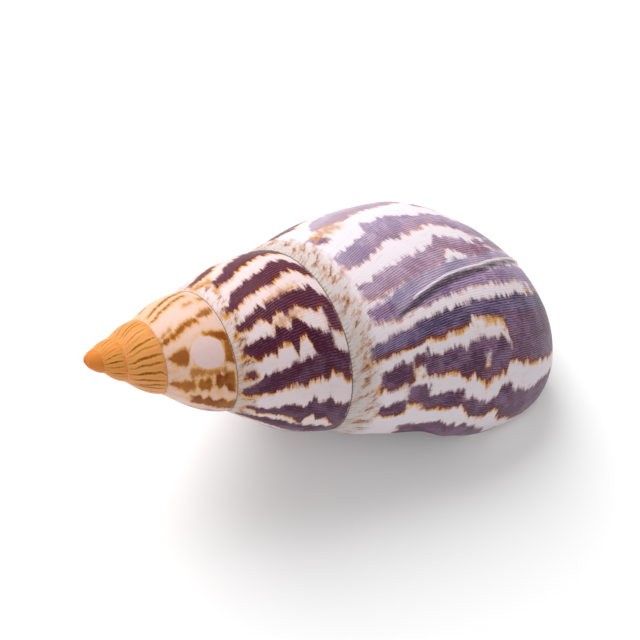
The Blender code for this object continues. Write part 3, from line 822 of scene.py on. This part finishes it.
@dataclass(frozen=True)
class Palette:
    """Colours of the outer surface in linear light, from the tip over the spire to the body whorl. The riblet
    colours are painted glints on the riblet crests and painted shade in their grooves, and the scar colours are
    a painted shadow beside its ridge and a painted highlight along it.
    """

    ground: tuple[tuple[float, Rgb], ...] = (
        (0.00, (0.66, 0.21, 0.035)), (0.30, (0.72, 0.23, 0.045)), (0.44, (0.73, 0.28, 0.105)),
        (0.52, (0.76, 0.42, 0.23)), (0.56, (0.74, 0.50, 0.42)), (0.66, (0.73, 0.50, 0.43)),
        (0.76, (0.72, 0.60, 0.62)), (0.90, (0.75, 0.67, 0.71)), (1.00, (0.73, 0.66, 0.71)))
    ground_cloud: Rgb = (0.74, 0.40, 0.16)
    cream_spire: Rgb = (0.50, 0.38, 0.26)
    cream_body: Rgb = (0.46, 0.40, 0.35)
    fleck: Rgb = (0.50, 0.24, 0.11)
    fleck_brown: Rgb = (0.20, 0.050, 0.030)
    fleck_violet: Rgb = (0.13, 0.050, 0.085)
    haze_red: Rgb = (0.32, 0.120, 0.180)
    haze_blue: Rgb = (0.160, 0.125, 0.300)
    haze_pale: Rgb = (0.54, 0.39, 0.55)
    haze_deep: Rgb = (0.115, 0.060, 0.130)
    # Painted shade in the grooves between the riblets, then painted glints on their crests.
    haze_riblet_shade: Rgb = (0.052, 0.026, 0.082)
    haze_riblet_glint: Rgb = (0.60, 0.50, 0.62)
    blush: Rgb = (0.66, 0.28, 0.13)
    fringe_yellow: Rgb = (0.76, 0.38, 0.09)
    fringe_red: Rgb = (0.27, 0.060, 0.018)
    amber_glow: Rgb = (0.72, 0.36, 0.085)
    amber: tuple[tuple[float, Rgb], ...] = (
        (0.0, (0.20, 0.040, 0.006)), (0.5, (0.38, 0.115, 0.012)), (0.8, (0.60, 0.28, 0.045)),
        (0.95, (0.72, 0.52, 0.49)))
    amber_cloud: Rgb = (0.58, 0.26, 0.045)
    wine_tip: Rgb = (0.19, 0.050, 0.006)
    wine_spire: Rgb = (0.075, 0.004, 0.012)
    wine_body: Rgb = (0.125, 0.024, 0.050)
    navy_tip: Rgb = (0.24, 0.075, 0.008)
    navy_spire: Rgb = (0.066, 0.006, 0.022)
    navy_body: Rgb = (0.066, 0.058, 0.135)
    flame_cloud_red: Rgb = (0.36, 0.18, 0.28)
    flame_cloud_blue: Rgb = (0.28, 0.22, 0.38)
    flame_thin: Rgb = (0.42, 0.17, 0.24)
    flame_border: Rgb = (0.19, 0.030, 0.010)
    # Painted shade in the grooves between the riblets, then painted glints on their crests.
    flame_riblet_shade: Rgb = (0.013, 0.005, 0.016)
    flame_riblet_glint_spire: Rgb = (0.38, 0.14, 0.22)
    flame_riblet_glint_body: Rgb = (0.50, 0.35, 0.47)
    # The scar: painted shadow beside its ridge, painted shade and glints of the riblets within it, and a painted
    # highlight along the ridge.
    scar_painted_shadow: Rgb = (0.080, 0.046, 0.072)
    scar_riblet_shade: Rgb = (0.018, 0.010, 0.018)
    scar_riblet_glint: Rgb = (0.34, 0.28, 0.37)
    scar_rim_highlight: Rgb = (0.78, 0.73, 0.79)
    seam_comb: Rgb = (0.15, 0.10, 0.06)
    seam_line: Rgb = (0.09, 0.045, 0.022)
    growth_streak: Rgb = (0.58, 0.42, 0.44)


class PolishedSkin:
    """Finish of the outer surface: ground colours, flames, seam flecks, riblets and gloss, with painted glints
    and shade on the riblets and a painted shadow and highlight at the scar.

    `age` runs from 0 at the tip to 1 at the mouth. `young`, `mature` and `old` are the shares of the
    tip's whorls, of all later whorls and of the body whorl.
    """

    palette: Palette = Palette()
    riblets_per_turn: float = 330.0
    comb_per_turn: float = 150.0
    roughness: float = 0.34

    def __init__(self, coil: Coil) -> None:
        """Read the growth map and the pigment, and add the noise and riblets that the layers share.

        Args:
            coil: The spiral, whose growth keeps the riblets at one spacing.
        """
        r = self.recipe = Recipe("polished_skin")
        uv = r.node("ShaderNodeUVMap", {"uv_map": "wound"}, {})
        growth, v, _ = r.parts(Signal(r, uv.outputs[0]))
        self.growth, self.v = growth, v
        place = r.node("ShaderNodeTexCoord", {}, {})
        where = Signal(r, place.outputs["Object"])
        # The fourth channel of pigment is the painted shadow beside the scar; the last of tint is the painted
        # highlight on the scar's ridge.
        dark, haze, amber, self.scar_shadow = r.attribute("pigment")
        side, self.hue, self.strength, self.light = r.attribute("tint")
        self.filled = self.strength.least(1.0)

        self.age = ((growth - coil.first_turn) / (coil.last_turn - coil.first_turn)).most(0.0)
        self.old = self.age.step(0.74, 0.86)
        self.young = 1.0 - self.age.step(0.635, 0.70)
        self.mature = 1.0 - self.young
        self.tidy = 1.0 - self.age.step(0.50, 0.57)
        self.reddish = side.step(0.35, 0.95)

        self.wander = r.noise(where, 1100.0, 3.0, 0.6) - 0.5
        sway = r.noise(where, 260.0, 2.0, 0.5) - 0.5
        self.teeth = self.grain(34.0, 16.0, 0.0, 4.0, 0.70) - 0.5
        self.streak = self.grain(230.0, 8.0, 3.0) - 0.5
        self.bead = self.grain(240.0, 26.0, 0.0)
        self.patchy = self.grain(26.0, 5.0, 7.0)
        self.mottle = self.grain(60.0, 40.0, 5.0, 3.0, 0.65)
        self.warm = self.patchy.step(0.35, 0.65) * 0.5 + 0.5

        wave = coil.radius_per_turn ** growth * (TAU * self.riblets_per_turn / math.log(coil.radius_per_turn))
        self.riblet = (wave + self.wander * 3.0 + sway * 9.0).sine() * 0.5 + 0.5
        # Painted glints on the riblet crests, and painted shade in the grooves between them.
        self.riblet_glint = self.riblet.step(0.35, 1.00) * self.bead.step(0.42, 0.64) * self.mature
        self.riblet_shade = (1.0 - self.riblet).step(0.35, 1.00) * self.bead.step(0.34, 0.58) * self.mature

        zigzag = r.noise(r.point(v * 24.0, growth * 6.0, 11.0), 1.0, 4.0, 0.62) - 0.5
        shifted = (side * 2.0 - 1.0) * zigzag * self.age.step(0.55, 0.75) * 0.95
        rough_edge = self.teeth * 0.70 + self.wander * 0.10 + shifted
        self.dark_edge = dark + rough_edge + self.streak * 0.22
        self.haze_edge = haze + rough_edge + self.streak * 0.34
        self.amber_edge = amber + rough_edge * (self.tidy * -0.75 + 1.0) + self.streak * 0.12

    def grain(self, along: float, across: float, layer: float, detail: float = 3.0,
              rough: float = 0.6) -> Signal:
        """Noise around 0.5 that follows the whorls.

        Args:
            along: Grains in a turn of growth.
            across: Grains across a whorl.
            layer: Which slice of the noise is taken.
            detail: How many finer layers it has.
            rough: How strong the finer layers are.

        Returns:
            The noise.
        """
        point = self.recipe.point(self.growth * along, self.v * across, layer)
        return self.recipe.noise(point, 1.0, detail, rough)

    def ground(self) -> Signal:
        """Ground colours, the cream band below the seam and its brown flecks.

        Returns:
            The colour that the markings lie on.
        """
        r, p, v, age = self.recipe, self.palette, self.v, self.age
        ground = r.ramp(age, p.ground)
        third_whorl = age.step(0.565, 0.59) * (1.0 - age.step(0.62, 0.66))
        clouded = r.mix(self.patchy.step(0.42, 0.62) * third_whorl * 0.65, ground, p.ground_cloud)

        band = 1.0 - (v + self.teeth * 0.10).step(0.09, 0.20)
        cream = r.mix(self.old, p.cream_spire, p.cream_body)
        banded = r.mix(band * age.step(0.72, 0.80) * 0.62, clouded, cream)

        branches = r.noise(r.point(self.growth * 62.0 + v * 4.0, v * 9.0, 0.0), 1.0, 4.0, 0.70)
        spots = band * (v.step(0.02, 0.10) * 0.7 + 0.3) * age.step(0.55, 0.70)
        flecked = r.mix(branches.step(0.47, 0.56) * spots * 0.85, banded, p.fleck)
        deep = r.mix(self.mottle.step(0.40, 0.60), p.fleck_brown, p.fleck_violet)
        return r.mix(branches.step(0.54, 0.62) * spots * 0.85, flecked, deep)

    def hazed(self, under: Signal) -> Signal:
        """The pale flames, with a blush at their edges.

        Args:
            under: The colour that they lie on.

        Returns:
            The colour with the flames.
        """
        r, p = self.recipe, self.palette
        haze = r.mix(self.hue, p.haze_red, p.haze_blue)
        haze = r.mix(self.patchy.step(0.36, 0.62) * 0.62, haze, p.haze_pale)
        haze = r.mix(self.mottle.step(0.42, 0.70) * 0.30, haze, p.haze_deep)
        # Painted shade in the riblet grooves and painted glints on the riblet crests.
        haze = r.mix(self.riblet_shade * 0.66, haze, p.haze_riblet_shade)
        haze = r.mix(self.riblet_glint * 0.42, haze, p.haze_riblet_glint)
        blush = self.haze_edge.step(0.28, 0.46) * (self.reddish * 0.7 + 0.1) * self.warm
        blushing = r.mix(blush, under, p.blush)
        return r.mix(self.haze_edge.step(0.36, 0.58) * self.filled, blushing, haze)

    def fringed(self, under: Signal) -> Signal:
        """The broken yellow and red fringes round the dark flames.

        Args:
            under: The colour that they lie on.

        Returns:
            The colour with the fringes.
        """
        r, p = self.recipe, self.palette
        start = 0.42 - (self.warm * 0.17 + self.mottle * 0.13 - 0.04) - (1.0 - self.old) * 0.05
        broken = self.grain(20.0, 10.0, 13.0).step(0.36, 0.60) * 0.75 + 0.25
        yellow = self.dark_edge.step(start - 0.08, start + 0.10) * (self.reddish * 0.85 + 0.10) * broken
        red = self.dark_edge.step(start + 0.04, 0.52) * (self.reddish * 0.62 + 0.30) * (broken * 0.5 + 0.5)
        return r.mix(red, r.mix(yellow, under, p.fringe_yellow), p.fringe_red)

    def ambered(self, under: Signal) -> Signal:
        """The amber lines and patches of the spire, with their glow.

        Args:
            under: The colour that they lie on.

        Returns:
            The colour with the amber markings.
        """
        r, p = self.recipe, self.palette
        near = self.amber_edge.step(0.17, 0.50) * (1.0 - self.hue.step(0.72, 0.98) * 0.7) * self.strength * 0.8
        glowing = r.mix(near, under, p.amber_glow)
        stain = r.ramp(self.hue, p.amber)
        stain = r.mix(self.patchy.step(0.42, 0.66) * (1.0 - self.hue) * 0.32, stain, p.amber_cloud)
        cover = self.mottle.step(0.36, 0.60) * 0.5 * self.mature + (self.young * 0.5 + 0.5)
        stained = r.mix(self.tidy, self.amber_edge.step(0.36, 0.64), self.amber_edge.step(0.43, 0.57))
        return r.mix(stained * self.filled * cover, glowing, stain)

    def flamed(self, under: Signal) -> Signal:
        """The dark flames, with painted shade in the grooves between the riblets and painted glints on their
        crests.

        Args:
            under: The colour that they lie on.

        Returns:
            The colour with the flames.
        """
        r, p = self.recipe, self.palette
        wine = r.mix(self.old, r.mix(self.young, p.wine_spire, p.wine_tip), p.wine_body)
        navy = r.mix(self.old, r.mix(self.young, p.navy_spire, p.navy_tip), p.navy_body)
        flame = r.mix(self.hue, wine, navy)
        cloud = r.mix(self.hue, p.flame_cloud_red, p.flame_cloud_blue)
        flame = r.mix(self.patchy.step(0.42, 0.62) * self.old * 0.62, flame, cloud)
        flame = r.mix(1.0 - self.filled, flame, p.flame_thin)
        border = (1.0 - self.dark_edge.step(0.48, 0.76)) * (self.reddish * 0.72 + 0.22)
        flame = r.mix(border, flame, p.flame_border)
        # Painted shade in the riblet grooves, then painted glints on the riblet crests.
        flame = r.mix(self.riblet_shade * 0.82, flame, p.flame_riblet_shade)
        pale = r.mix(self.old, p.flame_riblet_glint_spire, p.flame_riblet_glint_body)
        flame = r.mix(self.riblet_glint * (self.old * 0.14 + 0.17), flame, pale)
        soft = (1.0 - self.reddish) * 0.055 + 0.012
        return r.mix(self.dark_edge.step(0.43 - soft, 0.54 + soft), under, flame)

    def scarred(self, under: Signal) -> Signal:
        """The healed scar: a painted shadow beside its ridge and a painted highlight along the ridge.

        Args:
            under: The colour that it lies on.

        Returns:
            The colour with the scar.
        """
        r, p = self.recipe, self.palette
        # Painted shadow beside the ridge, with painted riblet shade and glints in it.
        shade = r.mix(self.riblet_shade * 0.7, p.scar_painted_shadow, p.scar_riblet_shade)
        shade = r.mix(self.riblet_glint * 0.7, shade, p.scar_riblet_glint)
        shaded = r.mix(self.scar_shadow.step(0.44, 0.62) * self.mature * 0.92, under, shade)
        # The painted highlight along the ridge of the scar.
        rim = self.light.step(0.50, 0.56) * self.scar_shadow.step(0.36, 0.41) * (1.0 - self.scar_shadow.step(0.47, 0.50))
        return r.mix(rim * self.mature * (self.mottle * 0.6 + 0.6).least(0.95), shaded, p.scar_rim_highlight)

    def seamed(self, under: Signal) -> Signal:
        """The fine comb below the seam, and the dark line of the seam.

        Args:
            under: The colour that they lie on.

        Returns:
            The colour with the seam.
        """
        r, p, v, age = self.recipe, self.palette, self.v, self.age
        reach = self.mottle.step(0.40, 0.60) * 0.06 + 0.015
        comb = (self.growth * (TAU * self.comb_per_turn) + self.wander * 5.0).sine().step(0.2, 1.0)
        comb = comb * (1.0 - v.step(0.0, reach))
        combed = r.mix(comb * 0.55 * age.step(0.5, 0.6), under, p.seam_comb)
        line = (1.0 - v.step(0.002, 0.009)) * age.step(0.12, 0.20) * (age.step(0.5, 0.7) * 0.4 + 0.45)
        return r.mix(line, combed, p.seam_line)

    def material(self) -> bpy.types.Material:
        """Lay the layers on one another, and add riblets and gloss.

        Returns:
            The material.
        """
        r = self.recipe
        colour = self.ground()
        for layer in (self.hazed, self.fringed, self.ambered, self.flamed, self.scarred, self.seamed):
            colour = layer(colour)
        colour = r.mix(self.streak.step(0.00, 0.30) * 0.22, colour, self.palette.growth_streak, "MULTIPLY")

        pigmented = self.dark_edge.step(0.40, 0.60).most(self.haze_edge.step(0.40, 0.60))
        height = self.riblet * (self.bead * 0.7 + 0.3) * (pigmented * 0.75 + 0.25) * self.mature
        bump = r.node("ShaderNodeBump", {}, {"Strength": 0.70, "Distance": 0.00011, "Height": height})
        roughness = self.bead * 0.12 + self.roughness - 0.04
        r.surface({"Coat Roughness": 0.15, "IOR": 1.5, "Specular IOR Level": 0.08, "Coat Weight": 0.04},
                  {"Base Color": colour, "Roughness": roughness, "Normal": Signal(r, bump.outputs[0])})
        return r.material


@dataclass(frozen=True)
class PorcelainLining:
    """Finish of the hollow: smooth, bluish white and lilac in soft clouds."""

    bluish: Rgb = (0.72, 0.72, 0.78)
    lilac: Rgb = (0.66, 0.60, 0.68)

    def material(self) -> bpy.types.Material:
        """The finish as a material.

        Returns:
            The material.
        """
        r = Recipe("porcelain_lining")
        place = r.node("ShaderNodeTexCoord", {}, {})
        where = Signal(r, place.outputs["Object"])
        cloud = r.noise(where, 160.0, 3.0, 0.5)
        colour = r.mix(cloud.step(0.35, 0.65), self.bluish, self.lilac)
        fine = r.noise(where, 1500.0, 2.0, 0.5)
        bump = r.node("ShaderNodeBump", {}, {"Strength": 0.08, "Distance": 0.0001, "Height": fine})
        r.surface({"IOR": 1.52, "Coat Weight": 0.4, "Coat Roughness": 0.08},
                  {"Base Color": colour, "Roughness": cloud * 0.1 + 0.15, "Normal": Signal(r, bump.outputs[0])})
        return r.material


@dataclass
class ShellSkin:
    """The whole shell as one closed skin: whorls, base, rounded lip and hollow.

    `sharpest_corner` and `deepest_inset` limit how far a ring of the hollow moves inwards, and the
    face that closes the hollow lies more than `deep_after` mm from the tip.
    """

    coil: Coil = field(default_factory=Coil)
    lip: Lip = field(default_factory=Lip)
    relief: Relief = field(default_factory=Relief)
    markings: Markings = field(default_factory=Markings)
    steps_per_turn: int = 210
    young_turns: float = 0.7
    lean_steps: int = 14
    band_rows: int = 48
    base_rows: int = 36
    nose_rows: int = 6
    nose_turns: float = 0.0035
    hollow_turns: float = 1.5
    hollow_rings: int = 120
    wall: float = 1.05
    lip_wall: float = 0.70
    callus: float = 0.35
    wall_full_after: float = 0.10
    pillar_radius: float = 3.4
    pillar_full_after: float = 0.15
    narrows_over: float = 0.30
    end_share: float = 0.12
    sharpest_corner: float = 0.36
    deepest_inset: float = 0.6
    deep_after: float = 5.0
    relief_full_radius: float = 0.5
    ring_crowding: float = 1.25
    lining_growth: float = 20.0
    weld_mm: float = 1.5e-4
    down_turn: float = 148.26
    base_hangs: float = 19.62

    def __post_init__(self) -> None:
        """Work out the rows of growth that all sheets share."""
        turns = self.coil.last_turn - self.coil.first_turn + self.young_turns
        self.rows = round(turns * self.steps_per_turn)
        self.growths = self.coil.last_turn - np.arange(self.rows, -1, -1) / self.steps_per_turn
        self.edges = self.growths.copy()
        self.edges[-1] -= self.nose_turns
        self.next_whorl = self.steps_per_turn - self.lean_steps
        self.band_v = np.linspace(0.0, 1.0, self.band_rows + 1)
        self.base_v = np.linspace(1.0, 2.0, self.base_rows + 1)

    def outside(self, growth: Array, v: Array) -> Array:
        """Points of the outer surface with its relief.

        Args:
            growth: Stage of growth in turns.
            v: Place across the whorl.

        Returns:
            Points in mm.
        """
        turns, radius, depth = self.lip.growth_line(self.coil, growth, v)
        full = np.clip(radius / self.relief_full_radius, 0.0, 1.0)
        radius = radius + self.relief.raised(self.coil, growth, v, radius) * full
        early = np.clip((self.coil.first_turn - growth) / self.young_turns, 0.0, 1.0)
        radius = radius * (1.0 - (1.0 - np.sqrt(1.0 - early ** 2)) * np.clip(1.0 - v, 0.0, 1.0))
        return self.coil.in_space(np.maximum(radius, 0.0), depth, turns)

    def inset_ring(self, growth: float, wall: float, callus: float, pillar: float,
                   narrowing: float) -> Array:
        """One ring of the hollow: the line round the mouth at a stage of growth, moved inwards.

        Args:
            growth: Stage of growth in turns.
            wall: Thickness of the outer wall in mm.
            callus: Thickness of the glaze on the whorl before, in mm.
            pillar: Radius in mm that is kept clear round the axis.
            narrowing: Share of the ring's full width.

        Returns:
            The ring's points in mm.
        """
        lip_v = np.concatenate([self.band_v, self.base_v[1:]])
        wall_v = self.base_v[::-1][1:-1]
        turns, radius, depth = self.lip.growth_line(self.coil, np.full(lip_v.shape, growth), lip_v)
        wall_radius, wall_depth = self.coil.profile(np.full(wall_v.shape, growth - 1.0), wall_v)
        turns = np.concatenate([turns, np.full(wall_v.shape, growth - 1.0)])
        radius, depth = np.concatenate([radius, wall_radius]), np.concatenate([depth, wall_depth])
        middle_r, middle_z = (radius.min() + radius.max()) / 2.0, (depth.min() + depth.max()) / 2.0
        to_r, to_z = middle_r - radius, middle_z - depth
        reach = np.hypot(to_r, to_z)
        to_r, to_z = to_r / reach, to_z / reach
        along_r = np.roll(radius, -1) - np.roll(radius, 1)
        along_z = np.roll(depth, -1) - np.roll(depth, 1)
        square = np.abs(to_r * along_z - to_z * along_r) / np.hypot(along_r, along_z)
        on_lip = np.arange(len(turns)) < len(lip_v)
        thickness = np.where(on_lip, wall, callus)
        soft = np.convolve(np.concatenate([thickness[-4:], thickness, thickness[:4]]), np.ones(9) / 9.0, "valid")
        inset = np.minimum(soft / np.maximum(square, self.sharpest_corner), self.deepest_inset * reach)
        inner_r = middle_r - to_r * (reach - inset) * narrowing
        inner_z = middle_z - to_z * (reach - inset) * narrowing
        return self.coil.in_space(np.maximum(inner_r, pillar), inner_z, turns)

    def rings(self) -> Array:
        """The rounded lip and the hollow behind it.

        Returns:
            Points in mm, ring by ring.
        """
        rings = []
        for step in range(1, self.nose_rows + 1):
            angle = math.pi * step / self.nose_rows
            share = (1.0 - math.cos(angle)) / 2.0
            growth = self.coil.last_turn - self.nose_turns * (1.0 - math.sin(angle))
            rings.append(self.inset_ring(growth, self.lip_wall * share, self.callus * share, 0.0, 1.0))
        for step in range(1, self.hollow_rings + 1):
            along = (step / self.hollow_rings) ** self.ring_crowding
            inward = self.nose_turns + (self.hollow_turns - self.nose_turns) * along
            smaller = self.coil.radius_per_turn ** min(1.0 - inward, 0.0)
            grown = min(inward / self.wall_full_after, 1.0)
            wall = (self.lip_wall + (self.wall - self.lip_wall) * grown) * smaller
            pillar = self.pillar_radius * min(inward / self.pillar_full_after, 1.0) * smaller
            left = min((self.hollow_turns - inward) / self.narrows_over, 1.0)
            narrowing = max(math.sqrt(1.0 - (1.0 - left) ** 2), self.end_share)
            rings.append(self.inset_ring(self.coil.last_turn - inward, wall, self.callus * smaller,
                                         pillar, narrowing))
        return np.array(rings)

    def sheet(self, name: str, places: Array) -> bpy.types.Object:
        """A grid primitive whose vertices are moved to a table of places.

        Args:
            name: Name of the new object.
            places: Points in mm, in rows and columns.

        Returns:
            The sheet, with its rows along the grid's y.
        """
        down, across = places.shape[:2]
        bpy.ops.object.select_all(action="DESELECT")
        bpy.ops.mesh.primitive_grid_add(x_subdivisions=across - 1, y_subdivisions=down - 1, size=1.0)
        sheet = bpy.context.object
        sheet.name = name
        flat = np.empty(len(sheet.data.vertices) * 3)
        sheet.data.vertices.foreach_get("co", flat)
        column = np.rint((flat[0::3] + 0.5) * (across - 1)).astype(int)
        row = np.rint((flat[1::3] + 0.5) * (down - 1)).astype(int)
        sheet.data.vertices.foreach_set("co", (places[row, column] * MM).ravel())
        corners = np.empty(len(sheet.data.loops), int)
        sheet.data.loops.foreach_get("vertex_index", corners)
        self.corner_cells = (row[corners], column[corners])
        return sheet

    def write_corners(self, sheet: bpy.types.Object, growth: Array, v: Array) -> None:
        """Give a sheet its growth map and its pigment.

        Args:
            sheet: The sheet that was just made.
            growth: Stage of growth at each row and column.
            v: Place across the whorl at each row and column.
        """
        mesh = sheet.data
        for layer in list(mesh.uv_layers):
            mesh.uv_layers.remove(layer)
        wound = mesh.uv_layers.new(name="wound")
        pairs = np.stack([growth[self.corner_cells], v[self.corner_cells]], axis=-1)
        wound.data.foreach_set("uv", pairs.astype(np.float32).ravel())
        for name, values in self.markings.fields(self.coil, growth, v).items():
            layer = mesh.attributes.new(name, "FLOAT_COLOR", "CORNER")
            layer.data.foreach_set("color", values[self.corner_cells].astype(np.float32).ravel())

    def build(self) -> bpy.types.Object:
        """The skin as one closed mesh round its own axis, in metres.

        Returns:
            The new object, not yet laid down.
        """
        growth, v = np.meshgrid(self.edges, self.band_v, indexing="ij")
        bands = self.sheet("tree_snail_shell", self.outside(growth, v))
        self.write_corners(bands, growth, v)

        growth, v = np.meshgrid(self.edges[self.rows - self.next_whorl:], self.base_v, indexing="ij")
        points = self.outside(growth, v)
        base = self.sheet("base", points)
        self.write_corners(base, growth, v)

        mouth = np.concatenate([self.outside(np.full(self.band_v.shape, self.edges[-1]), self.band_v),
                                points[-1, 1:], points[0, ::-1][1:-1]])
        rings = np.concatenate([mouth[None], self.rings()])
        rings = np.concatenate([rings, rings[:, :1]], axis=1)
        hollow = self.sheet("hollow", rings)
        around = np.linspace(0.0, 1.0, rings.shape[1])
        inward = self.coil.last_turn - np.linspace(0.0, self.hollow_turns, rings.shape[0])
        growth, v = np.meshgrid(inward, around, indexing="ij")
        self.write_corners(hollow, growth + self.lining_growth, v)
        for piece in (bands, base, hollow):
            lining = int(piece is hollow)
            piece.data.polygons.foreach_set("material_index", np.full(len(piece.data.polygons), lining))

        bpy.ops.object.select_all(action="DESELECT")
        for piece in (hollow, base, bands):
            piece.data.materials.clear()
            piece.data.materials.append(None)
            piece.data.materials.append(None)
            piece.select_set(True)
        bpy.context.view_layer.objects.active = bands
        bpy.ops.object.join()
        return bands

    def close(self, skin: bpy.types.Object) -> None:
        """Weld the sheets, close the tip and the end of the hollow, and turn all faces outwards.

        Args:
            skin: The joined sheets.
        """
        bpy.ops.object.mode_set(mode="EDIT")
        bpy.ops.mesh.select_all(action="SELECT")
        bpy.ops.mesh.remove_doubles(threshold=self.weld_mm * MM)
        bpy.ops.mesh.select_all(action="DESELECT")
        bpy.ops.mesh.select_non_manifold(extend=False)
        bpy.ops.mesh.fill(use_beauty=False)
        bpy.ops.object.mode_set(mode="OBJECT")
        for face in [face for face in skin.data.polygons if face.select]:
            face.material_index = int(face.center.x > self.deep_after * MM)
            for corner in face.loop_indices:
                skin.data.uv_layers["wound"].data[corner].uv = (self.coil.first_turn, 0.5)
                skin.data.attributes["pigment"].data[corner].color = (0.0, 0.0, 0.0, 0.0)
                skin.data.attributes["tint"].data[corner].color = (*PLAIN_TINT, 0.0)
        bpy.ops.object.mode_set(mode="EDIT")
        bpy.ops.mesh.select_all(action="SELECT")
        bpy.ops.mesh.normals_make_consistent(inside=False)
        bpy.ops.object.mode_set(mode="OBJECT")

    def lay_down(self, skin: bpy.types.Object) -> None:
        """Turn the skin into the position of the CAD shell and set it in its box.

        Args:
            skin: The closed skin, round its own axis.
        """
        rolled = Matrix.Rotation(math.radians(90.0 - self.down_turn), 4, "X")
        skin.data.transform(Matrix.Rotation(math.radians(self.base_hangs), 4, "Y") @ rolled)
        flat = np.empty(len(skin.data.vertices) * 3)
        skin.data.vertices.foreach_get("co", flat)
        points = flat.reshape(-1, 3)
        low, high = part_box("shell")
        middle = (np.array(low) + np.array(high)) / 2.0 - (points.min(0) + points.max(0)) / 2.0
        middle[2] = low[2] - points[:, 2].min()
        skin.data.transform(Matrix.Translation(middle))

    def dress(self, skin: bpy.types.Object) -> None:
        """Give the skin its finishes and its place on the frame.

        Args:
            skin: The closed skin, laid down.
        """
        skin.data.materials[0] = PolishedSkin(self.coil).material()
        skin.data.materials[1] = PorcelainLining().material()
        skin.data.shade_smooth()
        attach(skin, "root")
        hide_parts("shell")


@dataclass(frozen=True)
class Lamp:
    """A soft square light: its place and width in metres, and its power in watts."""

    name: str
    place: tuple[float, float, float]
    size: float
    power: float


@dataclass
class Studio:
    """Pale floor, soft lights and the camera, whose target and distance are in mm."""

    floor_size: float = 6.0
    floor_colour: Rgb = (0.92, 0.92, 0.92)
    lamps: tuple[Lamp, ...] = (Lamp("key", (-0.10, 0.42, 0.50), 0.45, 4.1),
                               Lamp("fill", (-0.35, -0.20, 0.45), 0.5, 0.5))
    lamps_face: tuple[float, float, float] = (0.0, 0.0, 0.015)
    surround: float = 0.56
    target: tuple[float, float, float] = (-5.14, -3.14, 27.99)
    distance: float = 122.04
    azimuth: float = -124.49
    elevation: float = 58.26
    roll: float = 12.00
    lens: float = 50.6
    sensor: float = 36.0

    def floor(self) -> bpy.types.Object:
        """A plain pale floor that is not part of the shell.

        Returns:
            The floor.
        """
        bpy.ops.object.select_all(action="DESELECT")
        bpy.ops.mesh.primitive_plane_add(size=self.floor_size, location=(0.0, 0.0, 0.0))
        floor = bpy.context.object
        floor.name = "floor"
        r = Recipe("pale_floor")
        r.surface({"Base Color": (*self.floor_colour, 1.0), "Roughness": 0.8, "Specular IOR Level": 0.1}, {})
        floor.data.materials.append(r.material)
        return floor

    def camera(self) -> bpy.types.Object:
        """The camera at the photograph's place.

        Returns:
            The camera object, set as the scene's camera.
        """
        azimuth, elevation = math.radians(self.azimuth), math.radians(self.elevation)
        back = Vector((math.cos(elevation) * math.cos(azimuth), math.cos(elevation) * math.sin(azimuth),
                       math.sin(elevation)))
        level = Vector((0.0, 0.0, 1.0)).cross(back).normalized()
        above = back.cross(level)
        turn = math.radians(self.roll)
        right = level * math.cos(turn) + above * math.sin(turn)
        up = above * math.cos(turn) - level * math.sin(turn)
        data = bpy.data.cameras.new("camera")
        data.sensor_width = self.sensor
        data.lens = self.lens
        data.clip_start = 0.005
        camera = bpy.data.objects.new("camera", data)
        bpy.context.scene.collection.objects.link(camera)
        place = (Vector(self.target) + back * self.distance) * MM
        turned = Matrix((right, up, back)).transposed().to_4x4()
        camera.matrix_world = Matrix.Translation(place) @ turned
        bpy.context.scene.camera = camera
        return camera

    def hang(self, lamp: Lamp) -> None:
        """Hang a light so that it faces the shell.

        Args:
            lamp: The light.
        """
        data = bpy.data.lights.new(lamp.name, "AREA")
        data.shape = "SQUARE"
        data.size = lamp.size
        data.energy = lamp.power
        hung = bpy.data.objects.new(lamp.name, data)
        bpy.context.scene.collection.objects.link(hung)
        hung.location = lamp.place
        aim = Vector(self.lamps_face) - Vector(lamp.place)
        hung.rotation_euler = aim.to_track_quat("-Z", "Y").to_euler()

    def light(self) -> None:
        """A key light from above the picture, a weak fill and a bright surround."""
        for lamp in self.lamps:
            self.hang(lamp)
        world = bpy.data.worlds.new("surround")
        world.use_nodes = True
        background = world.node_tree.nodes["Background"]
        background.inputs[0].default_value = (1.0, 1.0, 1.0, 1.0)
        background.inputs[1].default_value = self.surround
        bpy.context.scene.world = world
        bpy.context.scene.view_settings.view_transform = "Standard"


def main() -> None:
    """Build, close, lay down and dress the shell, then set the studio round it."""
    logging.basicConfig(level=logging.INFO)
    skin = ShellSkin()
    shell = skin.build()
    skin.close(shell)
    skin.lay_down(shell)
    skin.dress(shell)
    LOG.info("shell: %d faces", len(shell.data.polygons))
    studio = Studio()
    studio.floor()
    studio.light()
    studio.camera()
    LOG.info("studio: floor, lights and camera")


if __name__ == "__main__":
    main()
